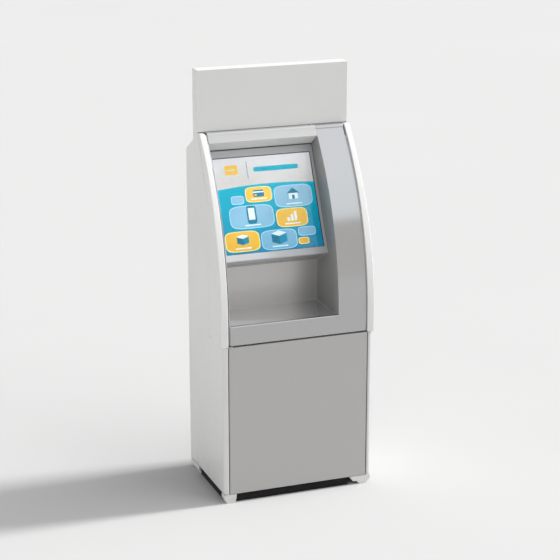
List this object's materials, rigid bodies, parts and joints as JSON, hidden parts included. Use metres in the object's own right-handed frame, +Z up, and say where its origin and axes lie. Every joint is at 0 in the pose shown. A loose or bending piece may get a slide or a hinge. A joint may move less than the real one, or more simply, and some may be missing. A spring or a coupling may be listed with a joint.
{
  "type": "self-service cash kiosk",
  "caption": "Free-standing sheet-metal cash kiosk with a tilted touch screen in a curved, top-hinged fascia, a delivery recess, a lower service door and a header board.",
  "frame": {"origin": "on the floor under the middle of the cabinet", "axes": "+Z up, -Y towards the user, +X to the user's right"},
  "size_m": [0.49, 0.333, 1.291],
  "materials": {
    "white_paint": "white powder coat, fine satin texture",
    "grey_paint": "warm grey satin paint",
    "silver_paint": "silver-grey semi-gloss paint",
    "zinc_steel": "zinc-plated steel",
    "bezel_plastic": "light blue-grey moulded plastic",
    "glass": "clear touch glass",
    "lcd": "display panel",
    "black_plastic": "black moulded plastic",
    "dark_metal": "dark grey powder coat",
    "cassette_plastic": "blue-grey moulded plastic",
    "foot_plastic": "off-white moulded plastic",
    "led_diffuser": "white diffuser",
    "lock_chrome": "bright chrome",
    "lock_brass": "brass",
    "paper": "white thermal paper",
    "rocker_plastic": "dark red moulded plastic"
  },
  "bodies": {
    "cabinet": {"side_panel_right": "white_paint", "side_panel_left": "white_paint", "cheek_right": "white_paint", "cheek_left": "white_paint", "header_front": "white_paint", "header_back": "white_paint", "roof_panel": "white_paint", "back_panel": "white_paint", "base_plate": "zinc_steel", "divider_shelf": "zinc_steel", "top_rail": "zinc_steel", "door_pivot_bottom": "zinc_steel", "door_pivot_top": "zinc_steel", "fascia_pin_right": "zinc_steel", "fascia_pin_left": "zinc_steel", "equipment_shelf": "zinc_steel", "printer_bracket": "zinc_steel", "header_led_strip": "led_diffuser", "foot_front_left": "foot_plastic", "foot_rear_left": "foot_plastic", "foot_front_right": "foot_plastic", "foot_rear_right": "foot_plastic", "door_lock_barrel": "lock_chrome", "fascia_lock_barrel": "lock_chrome", "receipt_printer": "black_plastic", "fan_frame": "black_plastic", "inlet_module": "black_plastic", "backup_battery": "black_plastic", "dispenser_chassis": "dark_metal", "computer": "dark_metal", "note_transport": "black_plastic", "roll_holder": "black_plastic", "cash_cassette_lower": "cassette_plastic", "cash_cassette_upper": "cassette_plastic"},
    "door": {"door_panel": "grey_paint", "door_stiffener": "zinc_steel", "door_catch": "zinc_steel"},
    "fascia": {"fascia_panel": "silver_paint", "fascia_side_left": "zinc_steel", "top_beam": "grey_paint", "recess_tray": "grey_paint", "note_throat": "black_plastic", "receipt_throat": "black_plastic", "fascia_catch": "zinc_steel", "monitor_bezel": "bezel_plastic", "touch_glass": "glass", "lcd_panel": "lcd", "monitor_chassis": "zinc_steel", "monitor_bracket_left": "zinc_steel", "monitor_bracket_right": "zinc_steel", "contactless_reader": "black_plastic"},
    "shutter": {"note_shutter": "zinc_steel"},
    "stay": {"fascia_stay": "zinc_steel"},
    "door_lock": {"door_lock_plug": "lock_brass", "door_lock_cam": "zinc_steel"},
    "fascia_lock": {"fascia_lock_plug": "lock_brass", "fascia_lock_cam": "zinc_steel"},
    "roll": {"paper_roll": "paper"},
    "fan": {"fan_rotor": "black_plastic"},
    "rocker": {"power_rocker": "rocker_plastic"}
  },
  "joints": [
    {"name": "door_hinge", "type": "hinge", "parent": "cabinet", "child": "door", "pos_m": [-0.2173, -0.1601, 0.263], "axis": [0, 0, -1], "range_deg": [0, 95]},
    {"name": "fascia_hinge", "type": "hinge", "parent": "cabinet", "child": "fascia", "pos_m": [0, 0.043, 1.0925], "axis": [-1, 0, 0], "range_deg": [0, 60]},
    {"name": "shutter_slide", "type": "slide", "parent": "fascia", "child": "shutter", "axis": [0, 0.9063, -0.4226], "range_m": [0, 0.016]},
    {"name": "stay_pivot", "type": "hinge", "parent": "cabinet", "child": "stay", "pos_m": [-0.221, -0.0015, 0.58], "axis": [1, 0, 0], "range_deg": [0, 60]},
    {"name": "door_lock_turn", "type": "hinge", "parent": "cabinet", "child": "door_lock", "pos_m": [0.23, -0.1305, 0.365], "axis": [-1, 0, 0], "range_deg": [0, 90]},
    {"name": "fascia_lock_turn", "type": "hinge", "parent": "cabinet", "child": "fascia_lock", "pos_m": [0.236, -0.0165, 0.622], "axis": [-1, 0, 0], "range_deg": [0, 90]},
    {"name": "paper_roll_spin", "type": "hinge", "parent": "cabinet", "child": "roll", "pos_m": [0.067, 0.0955, 0.837], "axis": [1, 0, 0], "continuous": true},
    {"name": "fan_spin", "type": "hinge", "parent": "cabinet", "child": "fan", "pos_m": [-0.12, 0.1515, 0.9], "axis": [0, 1, 0], "continuous": true},
    {"name": "power_rocker_tilt", "type": "hinge", "parent": "cabinet", "child": "rocker", "pos_m": [-0.185, 0.1595, 0.113], "axis": [-1, 0, 0], "range_deg": [0, 20]}
  ]
}
